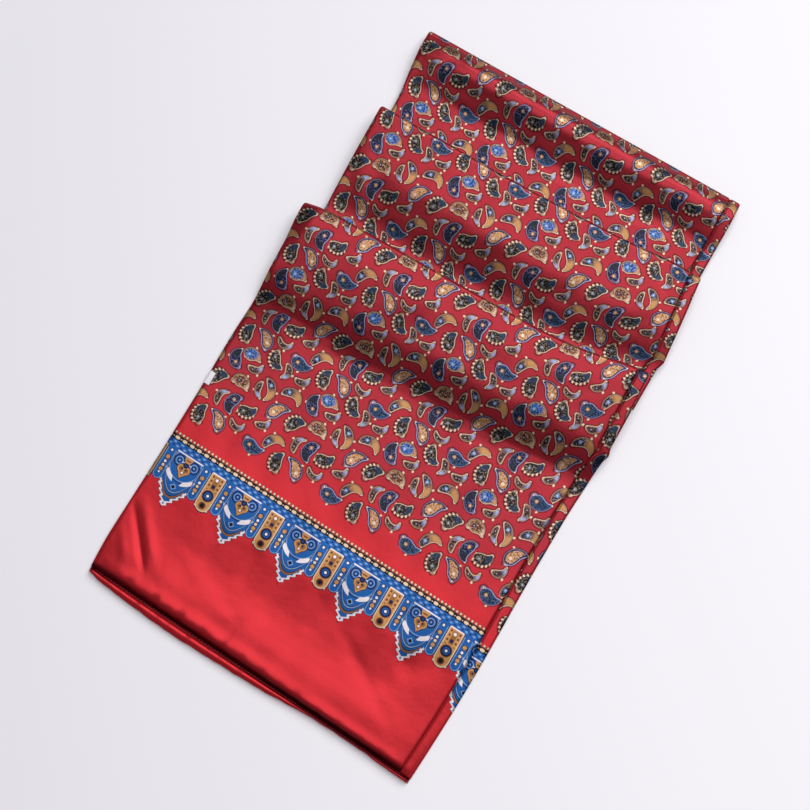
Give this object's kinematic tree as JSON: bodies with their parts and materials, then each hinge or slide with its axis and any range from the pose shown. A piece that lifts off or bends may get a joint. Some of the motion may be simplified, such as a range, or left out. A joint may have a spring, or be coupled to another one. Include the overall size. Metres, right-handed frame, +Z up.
{
  "type": "long silk scarf",
  "caption": "Long double-layer silk scarf with a small paisley print, a border band and a plain end, laid flat in loose accordion folds.",
  "frame": {"origin": "on the surface it lies on, under the middle of the folded scarf", "axes": "+Y along the scarf's length from the hem to the far fold, +X across to the rolled right side, +Z up"},
  "size_m": [0.2891, 0.4934, 0.0186],
  "materials": {
    "printed_silk": "glossy red satin-weave silk with a small multicolour paisley print",
    "label_satin": "blank white woven satin label"
  },
  "bodies": {
    "root": {"front_face": "printed_silk", "front_back": "printed_silk", "middle_face": "printed_silk", "middle_back": "printed_silk", "rear_face": "printed_silk", "rear_back": "printed_silk", "end_hem": "printed_silk", "hidden_folds": "printed_silk", "size_label": "label_satin"}
  },
  "joints": []
}
